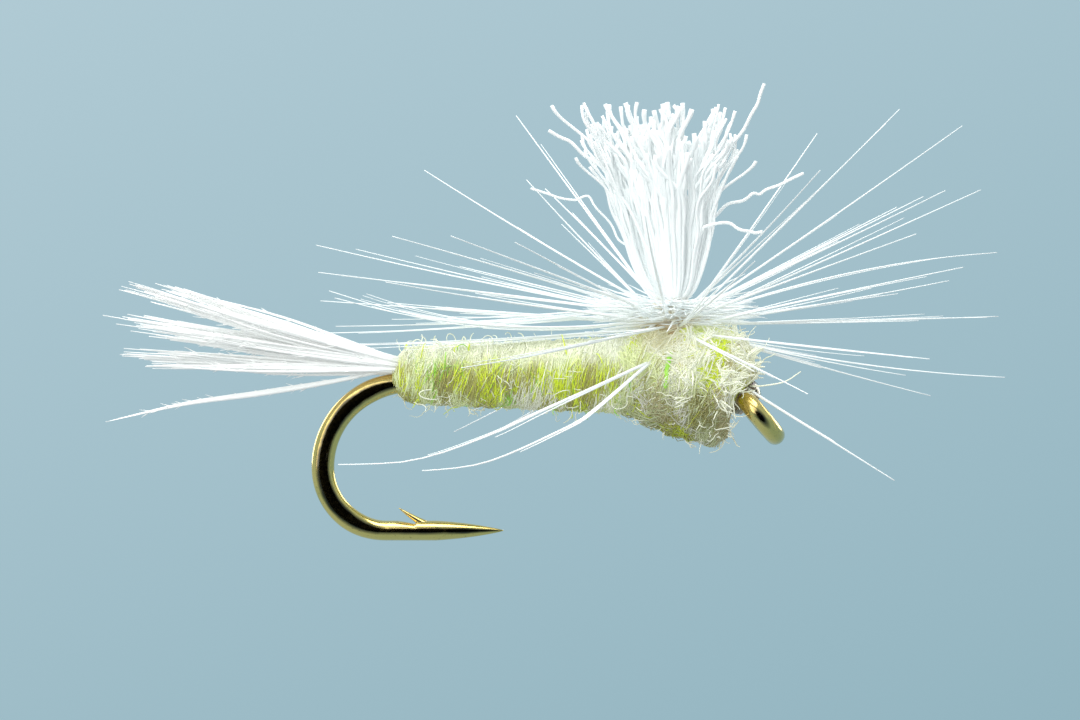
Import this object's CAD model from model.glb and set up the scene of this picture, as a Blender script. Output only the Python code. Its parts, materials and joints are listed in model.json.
import json
import math

import bmesh
import bpy
import numpy as np
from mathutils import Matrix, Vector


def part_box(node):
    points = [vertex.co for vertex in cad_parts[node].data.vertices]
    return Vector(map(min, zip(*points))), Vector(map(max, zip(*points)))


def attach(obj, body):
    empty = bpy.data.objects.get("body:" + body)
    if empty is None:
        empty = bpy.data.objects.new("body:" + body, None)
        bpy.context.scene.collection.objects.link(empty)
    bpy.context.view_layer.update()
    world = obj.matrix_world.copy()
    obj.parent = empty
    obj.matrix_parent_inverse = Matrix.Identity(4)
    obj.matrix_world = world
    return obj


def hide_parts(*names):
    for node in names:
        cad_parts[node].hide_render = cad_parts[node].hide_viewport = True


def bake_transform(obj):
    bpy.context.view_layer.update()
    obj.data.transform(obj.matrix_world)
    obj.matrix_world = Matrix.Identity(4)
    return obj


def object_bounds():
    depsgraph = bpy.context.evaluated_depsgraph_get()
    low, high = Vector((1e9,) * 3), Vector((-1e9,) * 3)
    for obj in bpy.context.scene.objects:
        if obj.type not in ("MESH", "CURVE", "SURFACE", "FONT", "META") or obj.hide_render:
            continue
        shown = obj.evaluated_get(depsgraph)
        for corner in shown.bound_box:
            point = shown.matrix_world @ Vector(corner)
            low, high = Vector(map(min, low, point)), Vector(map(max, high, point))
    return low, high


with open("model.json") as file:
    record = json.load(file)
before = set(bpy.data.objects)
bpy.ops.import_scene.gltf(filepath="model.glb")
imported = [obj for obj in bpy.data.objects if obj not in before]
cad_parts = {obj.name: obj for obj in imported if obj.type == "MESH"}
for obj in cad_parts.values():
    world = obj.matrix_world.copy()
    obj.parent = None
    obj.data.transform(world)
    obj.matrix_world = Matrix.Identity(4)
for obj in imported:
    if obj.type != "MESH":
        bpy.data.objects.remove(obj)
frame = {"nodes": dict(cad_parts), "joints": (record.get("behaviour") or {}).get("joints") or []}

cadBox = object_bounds()
mm = 0.001
nodes = frame["nodes"]
jointPlace = {j["name"]: np.array(j["pos_m"]) for j in frame["joints"]}
wingRoot = jointPlace["wing_flex"]
tailRoot = jointPlace["tail_flex"]
baseLow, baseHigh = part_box("thread_base")
shankZ = (baseLow.z + baseHigh.z) / 2
print("frame loaded:", len(nodes), "nodes")


# small sums that the pieces share

def unit(v):
    return v / np.maximum(np.linalg.norm(v, axis=-1, keepdims=True), 1e-12)


def ease(t):
    t = np.clip(t, 0, 1)
    return t * t * (3 - 2 * t)


def wobble(points, size, seed, waves=14):
    # smooth noise of about -1 to 1, with lumps about size across
    rng = np.random.default_rng(seed)
    waveVectors = rng.normal(0, 1.9 / size, (waves, 3))
    phases = rng.uniform(0, 2 * math.pi, waves)
    return np.sin(points @ waveVectors.T + phases).sum(-1) * math.sqrt(2 / waves) * 0.7


def smoothPath(points, count):
    # an even run of points on a smooth curve through the given ones
    p = np.asarray(points, float)
    p = np.concatenate([2 * p[:1] - p[1:2], p, 2 * p[-1:] - p[-2:-1]])
    spans = len(p) - 3
    made = []
    for t in np.linspace(0, spans, count):
        i = min(int(t), spans - 1)
        f = t - i
        a, b, c, d = p[i:i + 4]
        made.append(0.5 * (2 * b + (c - a) * f + (2 * a - 5 * b + 4 * c - d) * f * f
                           + (3 * b - a - 3 * c + d) * f ** 3))
    return np.array(made)


def evenPath(points, count):
    # the same curve with its points at equal steps along it
    fine = smoothPath(points, 12 * len(points))
    far = np.concatenate([[0], np.cumsum(np.linalg.norm(np.diff(fine, axis=0), axis=1))])
    at = np.linspace(0, far[-1], count)
    return np.stack([np.interp(at, far, fine[:, k]) for k in range(3)], axis=1)


# mesh building: a solid is (points, faces, tints)

def tube(points, radii, tint, sides=4, flat=1.0):
    # one closed tube on each row of points, carried along without twist
    points = np.asarray(points, float)
    if points.ndim == 2:
        points = points[None]
    strands, steps = points.shape[:2]
    radii = np.broadcast_to(np.asarray(radii, float), (strands, steps))
    forward = unit(np.gradient(points, axis=1))
    steep = np.abs(forward[:, 0, 2:3]) > 0.8
    out = unit(np.cross(forward[:, 0], np.where(steep, [[0.0, 1.0, 0.0]], [[0.0, 0.0, 1.0]])))
    turn = 2 * math.pi * np.arange(sides) / sides
    rings = np.empty((strands, steps, sides, 3))
    for i in range(steps):
        out = unit(out - forward[:, i] * np.sum(out * forward[:, i], axis=1, keepdims=True))
        side = np.cross(forward[:, i], out)
        ring = (np.cos(turn)[None, :, None] * out[:, None]
                + flat * np.sin(turn)[None, :, None] * side[:, None])
        rings[:, i] = points[:, i, None] + radii[:, i, None, None] * ring
    s, i, k = np.meshgrid(np.arange(strands), np.arange(steps - 1), np.arange(sides), indexing="ij")
    a = (s * steps + i) * sides + k
    b = (s * steps + i) * sides + (k + 1) % sides
    walls = np.stack([a, b, b + sides, a + sides], -1).reshape(-1, 4)
    first = (np.arange(strands) * steps * sides)[:, None]
    roots = first + np.arange(sides - 1, -1, -1)
    tips = first + (steps - 1) * sides + np.arange(sides)
    faces = walls.tolist() + roots.tolist() + tips.tolist()
    tint = np.asarray(tint, float)
    if tint.ndim == 2:
        # one colour for each strand, or for each step of a single strand
        tint = tint[None] if strands == 1 and len(tint) == steps else tint[:, None]
    tint = np.broadcast_to(tint, (strands, steps, 3))
    return rings.reshape(-1, 3), faces, np.repeat(tint.reshape(-1, 3), sides, axis=0)


def ringFaces(steps, sides):
    # the walls and the two end faces of a stack of rings
    faces = []
    for i in range(steps - 1):
        for k in range(sides):
            a = i * sides + k
            b = i * sides + (k + 1) % sides
            faces.append([a, b, b + sides, a + sides])
    faces.append(list(range(sides - 1, -1, -1)))
    faces.append([(steps - 1) * sides + k for k in range(sides)])
    return faces


def lathe(start, direction, outline, tint, sides=48, shape=None):
    # a turned solid; outline holds (distance along, radius), and shape may push its points about
    direction = unit(np.asarray(direction, float))
    side = unit(np.cross(direction, [0.0, 1.0, 0.0]))
    other = np.cross(direction, side)
    turn = 2 * math.pi * np.arange(sides) / sides
    ring = np.cos(turn)[:, None] * side + np.sin(turn)[:, None] * other
    outline = np.asarray(outline, float)
    points = (np.asarray(start) + outline[:, 0, None, None] * direction
              + outline[:, 1, None, None] * ring[None])
    if shape is not None:
        points = shape(points)
    steps = len(outline)
    return points.reshape(-1, 3), ringFaces(steps, sides), np.tile(tint, (steps * sides, 1))


def makePiece(name, solids, material, slot, *stoodFor):
    # one mesh object from several solids, with a tint on each point
    points, faces, tints = [], [], []
    start = 0
    for solidPoints, solidFaces, solidTints in solids:
        points.append(solidPoints)
        faces += [[start + v for v in face] for face in solidFaces]
        tints.append(solidTints)
        start += len(solidPoints)
    mesh = bpy.data.meshes.new(name)
    mesh.from_pydata(np.concatenate(points).tolist(), [], faces)
    tintLayer = mesh.color_attributes.new(name="tint", type="FLOAT_COLOR", domain="POINT")
    colours = np.concatenate([np.concatenate(tints), np.ones((start, 1))], axis=1)
    tintLayer.data.foreach_set("color", colours.astype(np.float32).ravel())
    mesh.shade_smooth()
    mesh.materials.append(material)
    piece = bpy.data.objects.new(name, mesh)
    bpy.context.scene.collection.objects.link(piece)
    if stoodFor:
        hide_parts(*stoodFor)
    return piece


def middleLines(nodeName, root, sides=4):
    # the middle line of every separate fibre in a CAD node, from its end nearest to root
    shape = bmesh.new()
    shape.from_mesh(nodes[nodeName].data)
    bmesh.ops.remove_doubles(shape, verts=shape.verts, dist=1e-7)
    left = set(shape.verts)
    lines = []
    for first in list(shape.verts):
        if first not in left:
            continue
        part, stack = set(), [first]
        while stack:
            v = stack.pop()
            if v in part:
                continue
            part.add(v)
            stack += [e.other_vert(v) for e in v.link_edges]
        left -= part
        near = sorted(part, key=lambda v: (np.linalg.norm(np.array(v.co) - root), v.index))
        ring, seen, line = near[:sides], set(near[:sides]), []
        while ring:
            line.append(np.mean([v.co for v in ring], axis=0))
            nextRing = {e.other_vert(v) for v in ring for e in v.link_edges} - seen
            seen |= nextRing
            ring = sorted(nextRing, key=lambda v: v.index)
        lines.append(np.array(line))
    shape.free()
    return lines


# materials

def addNode(tree, kind, inputs=(), **settings):
    made = tree.nodes.new(kind)
    for key, value in settings.items():
        setattr(made, key, value)
    for key, value in dict(inputs).items():
        if isinstance(value, bpy.types.NodeSocket):
            tree.links.new(value, made.inputs[key])
        else:
            made.inputs[key].default_value = value
    return made


def mixColour(tree, amount, a, b, blend="MIX"):
    return addNode(tree, "ShaderNodeMix", {0: amount, 6: a, 7: b},
                   data_type="RGBA", blend_type=blend).outputs[2]


def remap(tree, value, fromLow, fromHigh, toLow, toHigh):
    return addNode(tree, "ShaderNodeMapRange", {0: value, 1: fromLow, 2: fromHigh,
                                                3: toLow, 4: toHigh}).outputs[0]


def newGroup(name, inputs, outputs):
    tree = bpy.data.node_groups.new(name, "ShaderNodeTree")
    for socketName, kind, value in inputs:
        socket = tree.interface.new_socket(name=socketName, in_out="INPUT", socket_type=kind)
        socket.default_value = value
    for socketName, kind in outputs:
        tree.interface.new_socket(name=socketName, in_out="OUTPUT", socket_type=kind)
    return tree, tree.nodes.new("NodeGroupInput"), tree.nodes.new("NodeGroupOutput")


def addMath(tree, operation, a, b=0.0):
    return addNode(tree, "ShaderNodeMath", {0: a, 1: b}, operation=operation).outputs[0]


def fibreGrainGroup():
    # streaks, specks and tiny scales for anything drawn out of fibre or thread
    tree, given, put = newGroup(
        "fibreGrain",
        [("Tint", "NodeSocketColor", (1, 1, 1, 1)), ("Shade", "NodeSocketColor", (0.6, 0.6, 0.6, 1)),
         ("Grain", "NodeSocketFloat", 9000.0), ("Depth", "NodeSocketFloat", 0.3),
         ("Rough", "NodeSocketFloat", 0.5)],
        [("Colour", "NodeSocketColor"), ("Roughness", "NodeSocketFloat"), ("Height", "NodeSocketFloat")])
    coord = addNode(tree, "ShaderNodeTexCoord").outputs["Object"]
    broad = addNode(tree, "ShaderNodeTexNoise", {"Vector": coord, "Scale": 1600.0, "Detail": 3.0})
    fine = addNode(tree, "ShaderNodeTexNoise", {"Vector": coord, "Scale": given.outputs["Grain"],
                                               "Detail": 4.0, "Roughness": 0.65})
    scales = addNode(tree, "ShaderNodeTexVoronoi", {"Vector": coord, "Scale": given.outputs["Grain"]})
    dapple = addMath(tree, "MULTIPLY", broad.outputs[0], fine.outputs[0])
    amount = addMath(tree, "MULTIPLY", remap(tree, dapple, 0.12, 0.42, 1.0, 0.0), given.outputs["Depth"])
    shaded = mixColour(tree, 1.0, given.outputs["Tint"], given.outputs["Shade"], "MULTIPLY")
    tree.links.new(mixColour(tree, amount, given.outputs["Tint"], shaded), put.inputs["Colour"])
    wander = addMath(tree, "ADD", remap(tree, fine.outputs[0], 0.3, 0.7, -0.12, 0.12), given.outputs["Rough"])
    tree.links.new(wander, put.inputs["Roughness"])
    tree.links.new(addMath(tree, "ADD", fine.outputs[0], scales.outputs[0]), put.inputs["Height"])
    return tree


def lacquerGroup():
    # bronzed lacquer: dark where the wire is flat, gold where it is rubbed thin, with pits and specks
    tree, given, put = newGroup(
        "lacquerWear",
        [("Bronze", "NodeSocketColor", (0.3, 0.2, 0.05, 1)), ("Gold", "NodeSocketColor", (0.8, 0.6, 0.2, 1)),
         ("Rubbed", "NodeSocketFloat", 0.5), ("Rough", "NodeSocketFloat", 0.2)],
        [("Colour", "NodeSocketColor"), ("Roughness", "NodeSocketFloat"), ("Height", "NodeSocketFloat")])
    coord = addNode(tree, "ShaderNodeTexCoord").outputs["Object"]
    normal = addNode(tree, "ShaderNodeNewGeometry").outputs["Normal"]
    flatness = addMath(tree, "ABSOLUTE", addNode(tree, "ShaderNodeSeparateXYZ", {0: normal}).outputs["Y"])
    cloud = addNode(tree, "ShaderNodeTexNoise", {"Vector": coord, "Scale": 1400.0, "Detail": 5.0})
    pits = addNode(tree, "ShaderNodeTexNoise", {"Vector": coord, "Scale": 16000.0, "Detail": 3.0})
    drawn = addNode(tree, "ShaderNodeTexVoronoi", {"Vector": coord, "Scale": 9000.0})
    shifted = addMath(tree, "ADD", flatness, remap(tree, cloud.outputs[0], 0.3, 0.7, -0.035, 0.035))
    rubbed = remap(tree, shifted, 0.985, 0.88, 0.0, 1.0)
    amount = addMath(tree, "MULTIPLY", rubbed, given.outputs["Rubbed"])
    worn = mixColour(tree, amount, given.outputs["Bronze"], given.outputs["Gold"])
    speck = remap(tree, pits.outputs[0], 0.62, 0.74, 0.0, 0.45)
    tree.links.new(mixColour(tree, speck, worn, given.outputs["Bronze"]), put.inputs["Colour"])
    rough = addMath(tree, "ADD", remap(tree, pits.outputs[0], 0.4, 0.7, 0.0, 0.10), given.outputs["Rough"])
    tree.links.new(rough, put.inputs["Roughness"])
    tree.links.new(addMath(tree, "ADD", pits.outputs[0], drawn.outputs[0]), put.inputs["Height"])
    return tree


fibreGrain = fibreGrainGroup()
lacquerWear = lacquerGroup()


def newMaterial(name):
    material = bpy.data.materials.new(name)
    material.use_nodes = True
    tree = material.node_tree
    return material, tree, tree.nodes["Principled BSDF"]


def addDents(tree, shader, strength, height):
    dents = addNode(tree, "ShaderNodeBump", {"Strength": strength, "Distance": 0.01 * mm, "Height": height})
    tree.links.new(dents.outputs["Normal"], shader.inputs["Normal"])


def placeGroup(tree, group, shader, **settings):
    # a shared effect in a material, with its own values, wired to the colour and the roughness
    finish = addNode(tree, "ShaderNodeGroup", node_tree=group)
    for key, value in settings.items():
        finish.inputs[key.capitalize()].default_value = value
    tree.links.new(finish.outputs["Colour"], shader.inputs["Base Color"])
    tree.links.new(finish.outputs["Roughness"], shader.inputs["Roughness"])
    return finish


def fibreMaterial(name, shade, grain, depth, rough, bump, sheen=0.0, coat=0.0, glow=0.0):
    # each point's own tint under the shared grain; glow is the light that thin fibres let through
    material, tree, shader = newMaterial(name)
    tint = addNode(tree, "ShaderNodeAttribute", attribute_name="tint").outputs["Color"]
    finish = placeGroup(tree, fibreGrain, shader, shade=(*shade, 1), grain=grain, depth=depth, rough=rough)
    tree.links.new(tint, finish.inputs["Tint"])
    addDents(tree, shader, bump, finish.outputs["Height"])
    shader.inputs["Sheen Weight"].default_value = sheen
    shader.inputs["Coat Weight"].default_value = coat
    if glow:
        tree.links.new(finish.outputs["Colour"], shader.inputs["Emission Color"])
        shader.inputs["Emission Strength"].default_value = glow
    return material


def hookMaterial(name):
    material, tree, shader = newMaterial(name)
    finish = placeGroup(tree, lacquerWear, shader, bronze=(0.035, 0.027, 0.010, 1),
                        gold=(0.86, 0.62, 0.19, 1), rubbed=0.95, rough=0.12)
    addDents(tree, shader, 0.07, finish.outputs["Height"])
    shader.inputs["Metallic"].default_value = 1.0
    shader.inputs["Coat Weight"].default_value = 0.6
    shader.inputs["Coat Roughness"].default_value = 0.06
    return material


def cementMaterial(name):
    material, tree, shader = newMaterial(name)
    coord = addNode(tree, "ShaderNodeTexCoord").outputs["Object"]
    ripple = addNode(tree, "ShaderNodeTexNoise", {"Vector": coord, "Scale": 3500.0, "Detail": 2.0})
    addDents(tree, shader, 0.2, ripple.outputs[0])
    tree.links.new(mixColour(tree, ripple.outputs[0], (0.93, 0.84, 0.62, 1), (0.98, 0.93, 0.80, 1)),
                   shader.inputs["Base Color"])
    tree.links.new(remap(tree, ripple.outputs[0], 0.3, 0.7, 0.04, 0.12), shader.inputs["Roughness"])
    shader.inputs["Transmission Weight"].default_value = 1.0
    shader.inputs["IOR"].default_value = 1.47
    return material


bronzedWire = hookMaterial("bronzedWire")
clearCement = cementMaterial("clearCement")
# name, shade, grain, depth, roughness and bump
tyingThread = fibreMaterial("tyingThread", (0.45, 0.4, 0.35), 14000, 0.6, 0.45, 0.4, sheen=0.2)
postThread = fibreMaterial("postThread", (0.75, 0.68, 0.5), 14000, 0.5, 0.4, 0.3, sheen=0.1)
wingYarn = fibreMaterial("wingYarn", (0.88, 0.92, 0.95), 11000, 0.22, 0.42, 0.15, sheen=0.1, glow=0.09)
quillHorn = fibreMaterial("quillHorn", (0.6, 0.45, 0.25), 7000, 0.5, 0.35, 0.3, coat=0.3)
hackleBarb = fibreMaterial("hackleBarb", (0.86, 0.92, 0.93), 8000, 0.3, 0.4, 0.15, coat=0.1, glow=0.11)
tailFibre = fibreMaterial("tailFibre", (0.86, 0.92, 0.93), 8000, 0.25, 0.4, 0.15, glow=0.08)
abdomenFur = fibreMaterial("abdomenFur", (0.6, 0.62, 0.35), 12000, 0.35, 0.55, 0.2, sheen=0.15, glow=0.11)
thoraxFur = fibreMaterial("thoraxFur", (0.8, 0.76, 0.55), 12000, 0.3, 0.55, 0.2, sheen=0.15, glow=0.17)
print("materials made")


# hook

hookSizes = {
    "wire": 0.40, "bendRadius": 1.68, "gape": 2.95, "forgedDepth": 0.46, "forgedThick": 0.36,
    "forgedSquare": 0.22, "spear": 2.34, "point": 1.35, "pointTip": 0.035, "notch": 0.07,
    "barbRise": 0.24, "barbLength": 0.42, "barbBack": 0.3, "barbThick": 0.105,
    "eyeRing": 0.48, "eyeTilt": 50, "neck": 0.394, "eyeTurn": 322, "sides": 40}


def hookPlaces():
    # the corners of the hook's middle line, in metres
    s = hookSizes
    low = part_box("hook")[0]
    tilt = math.radians(s["eyeTilt"])
    back = (s["eyeRing"] + s["neck"]) * mm
    left = low.x + s["forgedDepth"] / 2 * mm
    bendX = left + s["bendRadius"] * mm
    lowRadius = (s["gape"] - s["bendRadius"]) * mm
    return {"tilt": tilt, "knee": np.array([-back * math.cos(tilt), 0, back * math.sin(tilt)]),
            "bendX": bendX, "bendZ": shankZ - s["bendRadius"] * mm, "lowRadius": lowRadius,
            "lowX": left + lowRadius, "spearZ": shankZ - s["gape"] * mm,
            "tipX": left + lowRadius + s["spear"] * mm}


def hookLine():
    # the middle line from the point round to the knee, with how far it is forged flat
    s, at = hookSizes, hookPlaces()
    line, forged = [], []
    for x in np.linspace(at["tipX"], at["lowX"], 90, endpoint=False):
        line.append([x, 0, at["spearZ"]])
        forged.append(0.0)
    for a in np.linspace(270, 180, 60, endpoint=False):
        c = math.radians(a)
        line.append([at["lowX"] + at["lowRadius"] * math.cos(c), 0,
                     at["bendZ"] + at["lowRadius"] * math.sin(c)])
        forged.append(ease((270 - a) / 40))
    for a in np.linspace(180, 90, 60, endpoint=False):
        c = math.radians(a)
        line.append([at["bendX"] + s["bendRadius"] * mm * math.cos(c), 0,
                     at["bendZ"] + s["bendRadius"] * mm * math.sin(c)])
        forged.append(ease((a - 90) / 30))
    for x in np.linspace(at["bendX"], at["knee"][0], 40):
        line.append([x, 0, shankZ])
        forged.append(0.0)
    return np.array(line), np.array(forged)


def eyeLine():
    # from the knee down the neck, then round the ring and back beside the neck
    s, at = hookSizes, hookPlaces()
    ahead = np.array([math.cos(at["tilt"]), 0, -math.sin(at["tilt"])])
    across = np.array([0.0, 1.0, 0.0])
    ring = s["eyeRing"] * mm
    line = [at["knee"] * (1 - t) + (-ahead * (ring + 0.12 * mm)) * t for t in np.linspace(0, 1, 10)]
    for a in np.linspace(16, s["eyeTurn"], 84):
        c = math.radians(180 + a)
        line.append(ring * (math.cos(c) * ahead + math.sin(c) * across))
    return np.array(line)


def barbRoot():
    # where along the spear the barb joins it
    s = hookSizes
    return hookPlaces()["tipX"] - s["point"] * mm - (s["barbBack"] - 0.16) * mm


def wireBody():
    # the wire from the point round to the knee, with its taper, its forged bend and the barb's notch
    s, at = hookSizes, hookPlaces()
    wire = s["wire"] / 2 * mm
    line, forged = hookLine()
    turn = 2 * math.pi * np.arange(s["sides"]) / s["sides"]
    outward = np.cross(unit(np.gradient(line, axis=0)), [0.0, 1.0, 0.0])
    taperEnd = at["tipX"] - s["point"] * mm
    rings = []
    for i, p in enumerate(line):
        deep = wire + (s["forgedDepth"] / 2 * mm - wire) * forged[i]
        wide = wire + (s["forgedThick"] / 2 * mm - wire) * forged[i]
        power = 1 - s["forgedSquare"] * forged[i]
        up = np.sign(np.sin(turn)) * np.abs(np.sin(turn)) ** power
        sideways = np.sign(np.cos(turn)) * np.abs(np.cos(turn)) ** power
        onSpear = at["spearZ"] + 1e-6 > p[2]
        if onSpear and p[0] > taperEnd:
            t = (at["tipX"] - p[0]) / (s["point"] * mm)
            slim = s["pointTip"] + (1 - s["pointTip"]) * (1.55 * t - 0.55 * t * t) ** 0.9
            deep = wire * slim
            wide = wire * slim
        rings.append(p + deep * up[:, None] * outward[i] + wide * sideways[:, None] * np.array([0, 1.0, 0]))
    rings = np.array(rings)
    gone = np.clip((barbRoot() - 0.26 * mm - rings[:, :, 0]) / (s["barbLength"] * mm), 0, 1)
    cut = np.where((gone > 0) & (gone < 1), (1 - gone) ** 1.5 * s["notch"] * mm, 0)
    top = np.clip((rings[:, :, 2] - at["spearZ"]) / wire, 0, 1) ** 2
    spearOnly = (rings[:, :, 0] > at["lowX"] + 0.1 * mm) & (rings[:, :, 2] < at["spearZ"] + wire * 1.02)
    rings[:, :, 2] -= np.where(spearOnly, cut * top, 0)
    points = rings.reshape(-1, 3)
    return points, ringFaces(len(rings), s["sides"]), np.ones((len(points), 3))


def barbSliver():
    # the sliver that the cut lifted off the top of the spear
    s = hookSizes
    t = np.linspace(0, 1, 24)
    back = 0.08 * mm + (s["barbLength"] + 0.1) * mm * t
    rise = (s["wire"] / 2 - s["notch"]) * mm + (s["barbRise"] + 0.08) * mm * t ** 1.1
    line = np.stack([barbRoot() - back, 0 * t, hookPlaces()["spearZ"] + rise], 1)
    return tube(line, (s["barbThick"] * (1 - t) ** 0.8 + 0.008) * mm, (1, 1, 1), sides=16, flat=0.75)


def makeHook():
    wire = hookSizes["wire"] / 2 * mm
    kneePlace = hookPlaces()["knee"]
    eye = eyeLine()
    eyeThick = np.full(len(eye), wire)
    eyeThick[-3:] *= [0.96, 0.85, 0.5]
    ball = [(wire * (1 - math.cos(a)), wire * max(math.sin(a), 0.02)) for a in np.linspace(0.02, 3.1, 20)]
    solids = [wireBody(), barbSliver(), tube(eye, eyeThick, (1, 1, 1), sides=32),
              lathe(kneePlace - unit(kneePlace) * wire, unit(kneePlace), ball, (1, 1, 1), sides=32)]
    piece = makePiece("hook_wire", solids, bronzedWire, "bronzed_wire", "hook")
    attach(piece, "root")


makeHook()
print("hook made")


# thread, post and head

threadSizes = {"postThread": 0.034, "postPitch": 0.058, "headThread": 0.045, "headTurns": 15,
               "headFrom": 0.04, "headLength": 0.56, "headEnd": 0.255, "headSwell": 0.105,
               # each layer of the whip finish: where its turns start, and how far they wander
               "headLayers": [(0.0, 0.0), (1.3, 0.35), (2.9, 0.6)],
               # the cement's thickness at places along the head
               "cementSkin": [(0.16, 0.0), (0.2, 0.018), (0.35, 0.03), (0.55, 0.034), (0.75, 0.03),
                              (0.9, 0.02), (0.98, 0.004)],
               "threadBrown": (0.27, 0.17, 0.11), "threadCream": (0.93, 0.91, 0.84),
               "threadRose": (0.88, 0.80, 0.74)}

quillSizes = {"root": 0.07, "taper": 0.028, "horn": (0.62, 0.49, 0.28), "pale": (0.93, 0.92, 0.86)}


def coverCadThread():
    # the wraps inside the body keep their CAD shape and take the thread's finish
    for nodeName in ("thread_base", "tail_lashing", "post_anchor_wraps", "hackle_tie_off"):
        finishNode(nodeName, plainThread)
    finishNode("tail_butts", plainButts)
    finishNode("wing_saddle", plainYarn)


def finishNode(nodeName, material):
    piece = nodes[nodeName]
    piece.data.materials.clear()
    piece.data.materials.append(material)


def tintedMaterial(name, colour, shade, ridge):
    # wound thread or fibre on a plain CAD shape: ridges across it, and the shared grain
    material, tree, shader = newMaterial(name)
    coord = addNode(tree, "ShaderNodeTexCoord").outputs["Object"]
    turns = addNode(tree, "ShaderNodeTexWave", {"Vector": coord, "Scale": ridge, "Distortion": 1.5,
                                                "Detail": 2.0}, bands_direction="X")
    finish = placeGroup(tree, fibreGrain, shader, shade=(*shade, 1))
    tree.links.new(mixColour(tree, turns.outputs[1], (*shade, 1), (*colour, 1)), finish.inputs["Tint"])
    addDents(tree, shader, 0.5, addMath(tree, "ADD", turns.outputs[1], finish.outputs["Height"]))
    shader.inputs["Sheen Weight"].default_value = 0.15
    return material


plainThread = tintedMaterial("woundThread", threadSizes["threadBrown"], (0.08, 0.05, 0.03), 9000.0)
plainButts = tintedMaterial("lashedButts", (0.85, 0.87, 0.82), (0.6, 0.62, 0.55), 2500.0)
plainYarn = tintedMaterial("loopedYarn", (0.93, 0.95, 0.96), (0.75, 0.78, 0.8), 6000.0)


def makePostWraps():
    low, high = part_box("post_wraps")
    s = threadSizes
    outer = (high.x - low.x) / 2
    thread = s["postThread"] * mm
    turns = (high.z - low.z - thread) / (s["postPitch"] * mm)
    steps = int(turns * 40)
    t = np.linspace(0, 1, steps)
    a = 2 * math.pi * turns * t
    r = outer - thread * (1.05 - 0.1 * np.sin(9 * a / turns))
    helix = np.stack([wingRoot[0] + r * np.cos(a), r * np.sin(a),
                      low.z + thread / 2 + (high.z - low.z - thread) * t], 1)
    wraps = tube(helix, thread, s["threadCream"], sides=8)
    inside = outer - 2 * thread
    sleeve = lathe((wingRoot[0], 0, low.z), (0, 0, 1), [(0, inside), (high.z - low.z, inside)],
                   s["threadCream"], sides=32)
    piece = makePiece("post_thread_turns", [wraps, sleeve], postThread, "post_thread", "post_wraps")
    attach(piece, "root")


def headRadius(t, grow=0.0):
    # radius of the whip finish along the neck, from the knee side to the eye side
    s = threadSizes
    return (s["headEnd"] + s["headSwell"] * np.sin(math.pi * np.clip(t, 0, 1)) ** 0.7 + grow) * mm


def makeHead():
    s, at = threadSizes, hookPlaces()
    ahead = unit(-at["knee"])
    across = np.array([0.0, 1.0, 0.0])
    up = np.cross(across, ahead)
    start = at["knee"] + s["headFrom"] * mm * ahead
    length = s["headLength"] * mm
    thread = s["headThread"] / 2 * mm
    t = np.linspace(0, 1, 600)
    a = 2 * math.pi * s["headTurns"] * t
    solids = []
    for layer, (phase, wander) in enumerate(s["headLayers"]):
        place = np.abs(((t * (1 + wander) + 0.3 * layer) % 2) - 1) if layer else t
        r = headRadius(place) - thread * (1.0 + 0.2 * np.sin(5 * a + phase)) - (0 if layer else 0.02 * mm)
        tilt = wander * 0.05 * mm * np.sin(a + phase)
        line = (start + (place * (length - 2 * thread) + thread + tilt)[:, None] * ahead
                + (r * np.cos(a + phase))[:, None] * across + (r * np.sin(a + phase))[:, None] * up)
        dark = np.array(s["threadBrown"]) * (1.0 + 0.25 * layer)
        paleTop = ease((np.sin(a + phase) - 0.15) / 0.5)[:, None] * (0.35 + 0.3 * layer)
        shade = dark + (np.array(s["threadRose"]) - dark) * paleTop
        solids.append(tube(line, thread, shade, sides=6))
    core = [(length * t, float(headRadius(t)) - 1.6 * thread) for t in np.linspace(0, 1, 12)]
    solids.append(lathe(start, ahead, core, s["threadBrown"], sides=32))
    piece = makePiece("whip_finish", solids, tyingThread, "tying_thread", "head_wraps")
    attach(piece, "root")
    # clear cement soaked over the front half of the wraps
    outer = [(length * t, float(headRadius(t, grow))) for t, grow in s["cementSkin"]]
    inner = [(length * t, float(headRadius(t, 0.001))) for t, _ in reversed(s["cementSkin"])]
    sides = 64
    points, faces, tints = lathe(
        start, ahead, outer + inner, (1, 1, 1), sides=sides,
        shape=lambda p: p + 0.006 * mm * wobble(p, 0.12 * mm, 5)[..., None] * unit(p - start))
    # the skin closes on itself, so its first and last rings are joined and have no end faces
    last = len(points) - sides
    seam = [[last + k, last + (k + 1) % sides, (k + 1) % sides, k] for k in range(sides)]
    piece = makePiece("head_cement_coat", [(points, faces[:-2] + seam, tints)], clearCement,
                      "clear_cement", "head_cement")
    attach(piece, "root")


def makeQuill():
    s = quillSizes
    foot = np.array(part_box("hackle_quill")[0])
    line = max(middleLines("hackle_quill", np.array([wingRoot[0], -0.5 * mm, foot[2]]), sides=6), key=len)
    fine = evenPath(line, 420)
    t = np.linspace(0, 1, len(fine))
    radii = (s["root"] - s["taper"] * t) * mm * (1 + 0.06 * np.sin(90 * t))
    # horn-coloured to a quarter of the way, then pale
    horn = np.array(s["horn"])
    tints = horn + (np.array(s["pale"]) - horn) * ease((t - 0.24) / 0.1)[:, None]
    piece = makePiece("hackle_stem", [tube(fine, radii, tints, sides=10, flat=0.85)], quillHorn,
                      "hackle_quill", "hackle_quill")
    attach(piece, "root")


coverCadThread()
makePostWraps()
makeHead()
makeQuill()
print("thread, post and head made")


# dubbed abdomen and thorax

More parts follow.
